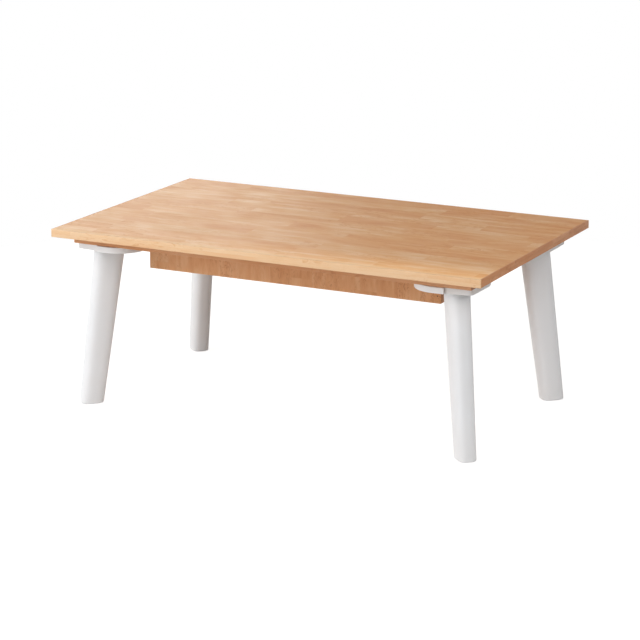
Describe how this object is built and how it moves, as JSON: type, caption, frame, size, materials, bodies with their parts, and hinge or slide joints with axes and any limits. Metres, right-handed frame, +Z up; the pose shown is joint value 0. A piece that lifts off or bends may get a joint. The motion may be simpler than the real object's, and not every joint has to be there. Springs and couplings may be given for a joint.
{
  "type": "low floor table",
  "caption": "Low rectangular floor table: loose wooden top board on a set-in frame, heater boxed in beneath, and splayed oval legs under rounded seat plates.",
  "frame": {"origin": "on the floor under the middle of the table", "axes": "+X along the table's length to the right, +Y from the front to the back, +Z up"},
  "size_m": [1, 0.6, 0.397],
  "materials": {
    "board_wood": "satin clear lacquer",
    "edge_wood": "satin clear lacquer",
    "frame_wood": "satin clear lacquer",
    "apron_wood": "satin clear lacquer",
    "white_paint": "satin white paint on wood",
    "plain_steel": "zinc plated",
    "pad_rubber": "matt",
    "glide_plastic": "matt",
    "heater_sheet_metal": "black heat-proof paint",
    "bright_sheet": "bright rolled",
    "heater_glass": "tinted quartz",
    "black_plastic": "matt"
  },
  "bodies": {
    "frame": {"anti_slip_pad_front_left": "pad_rubber", "anti_slip_pad_front_right": "pad_rubber", "anti_slip_pad_back_left": "pad_rubber", "anti_slip_pad_back_right": "pad_rubber", "frame_rail_front": "frame_wood", "frame_rail_back": "frame_wood", "frame_rail_left": "frame_wood", "frame_rail_right": "frame_wood", "heater_rail_left": "frame_wood", "heater_rail_right": "frame_wood", "apron_front": "apron_wood", "apron_back": "apron_wood", "apron_left": "apron_wood", "apron_right": "apron_wood", "seat_plate_front_left": "white_paint", "seat_plate_front_right": "white_paint", "seat_plate_back_left": "white_paint", "seat_plate_back_right": "white_paint", "seat_screw_front_left_along": "plain_steel", "seat_screw_front_left_across": "plain_steel", "seat_screw_front_right_along": "plain_steel", "seat_screw_front_right_across": "plain_steel", "seat_screw_back_left_along": "plain_steel", "seat_screw_back_left_across": "plain_steel", "seat_screw_back_right_along": "plain_steel", "seat_screw_back_right_across": "plain_steel", "leg_front_left": "white_paint", "leg_front_right": "white_paint", "leg_back_left": "white_paint", "leg_back_right": "white_paint", "leg_bolt_front_left": "plain_steel", "leg_bolt_front_right": "plain_steel", "leg_bolt_back_left": "plain_steel", "leg_bolt_back_right": "plain_steel", "leg_nut_front_left": "plain_steel", "leg_nut_front_right": "plain_steel", "leg_nut_back_left": "plain_steel", "leg_nut_back_right": "plain_steel", "foot_glide_front_left": "glide_plastic", "foot_glide_front_right": "glide_plastic", "foot_glide_back_left": "glide_plastic", "foot_glide_back_right": "glide_plastic", "heater_housing": "heater_sheet_metal", "heater_reflector": "bright_sheet", "heater_guard": "heater_sheet_metal", "heater_tube_front": "heater_glass", "heater_tube_back": "heater_glass", "heater_inlet": "black_plastic", "heater_thermostat": "black_plastic", "heater_screw_front_left": "plain_steel", "heater_screw_front_right": "plain_steel", "heater_screw_back_left": "plain_steel", "heater_screw_back_right": "plain_steel"},
    "top": {"top_board_core": "board_wood", "edge_band_front": "edge_wood", "edge_band_back": "edge_wood", "edge_band_left": "edge_wood", "edge_band_right": "edge_wood"}
  },
  "joints": [
    {"name": "top_lift", "type": "slide", "parent": "frame", "child": "top", "axis": [0, 0, 1], "range_m": [0, 0.15]}
  ]
}
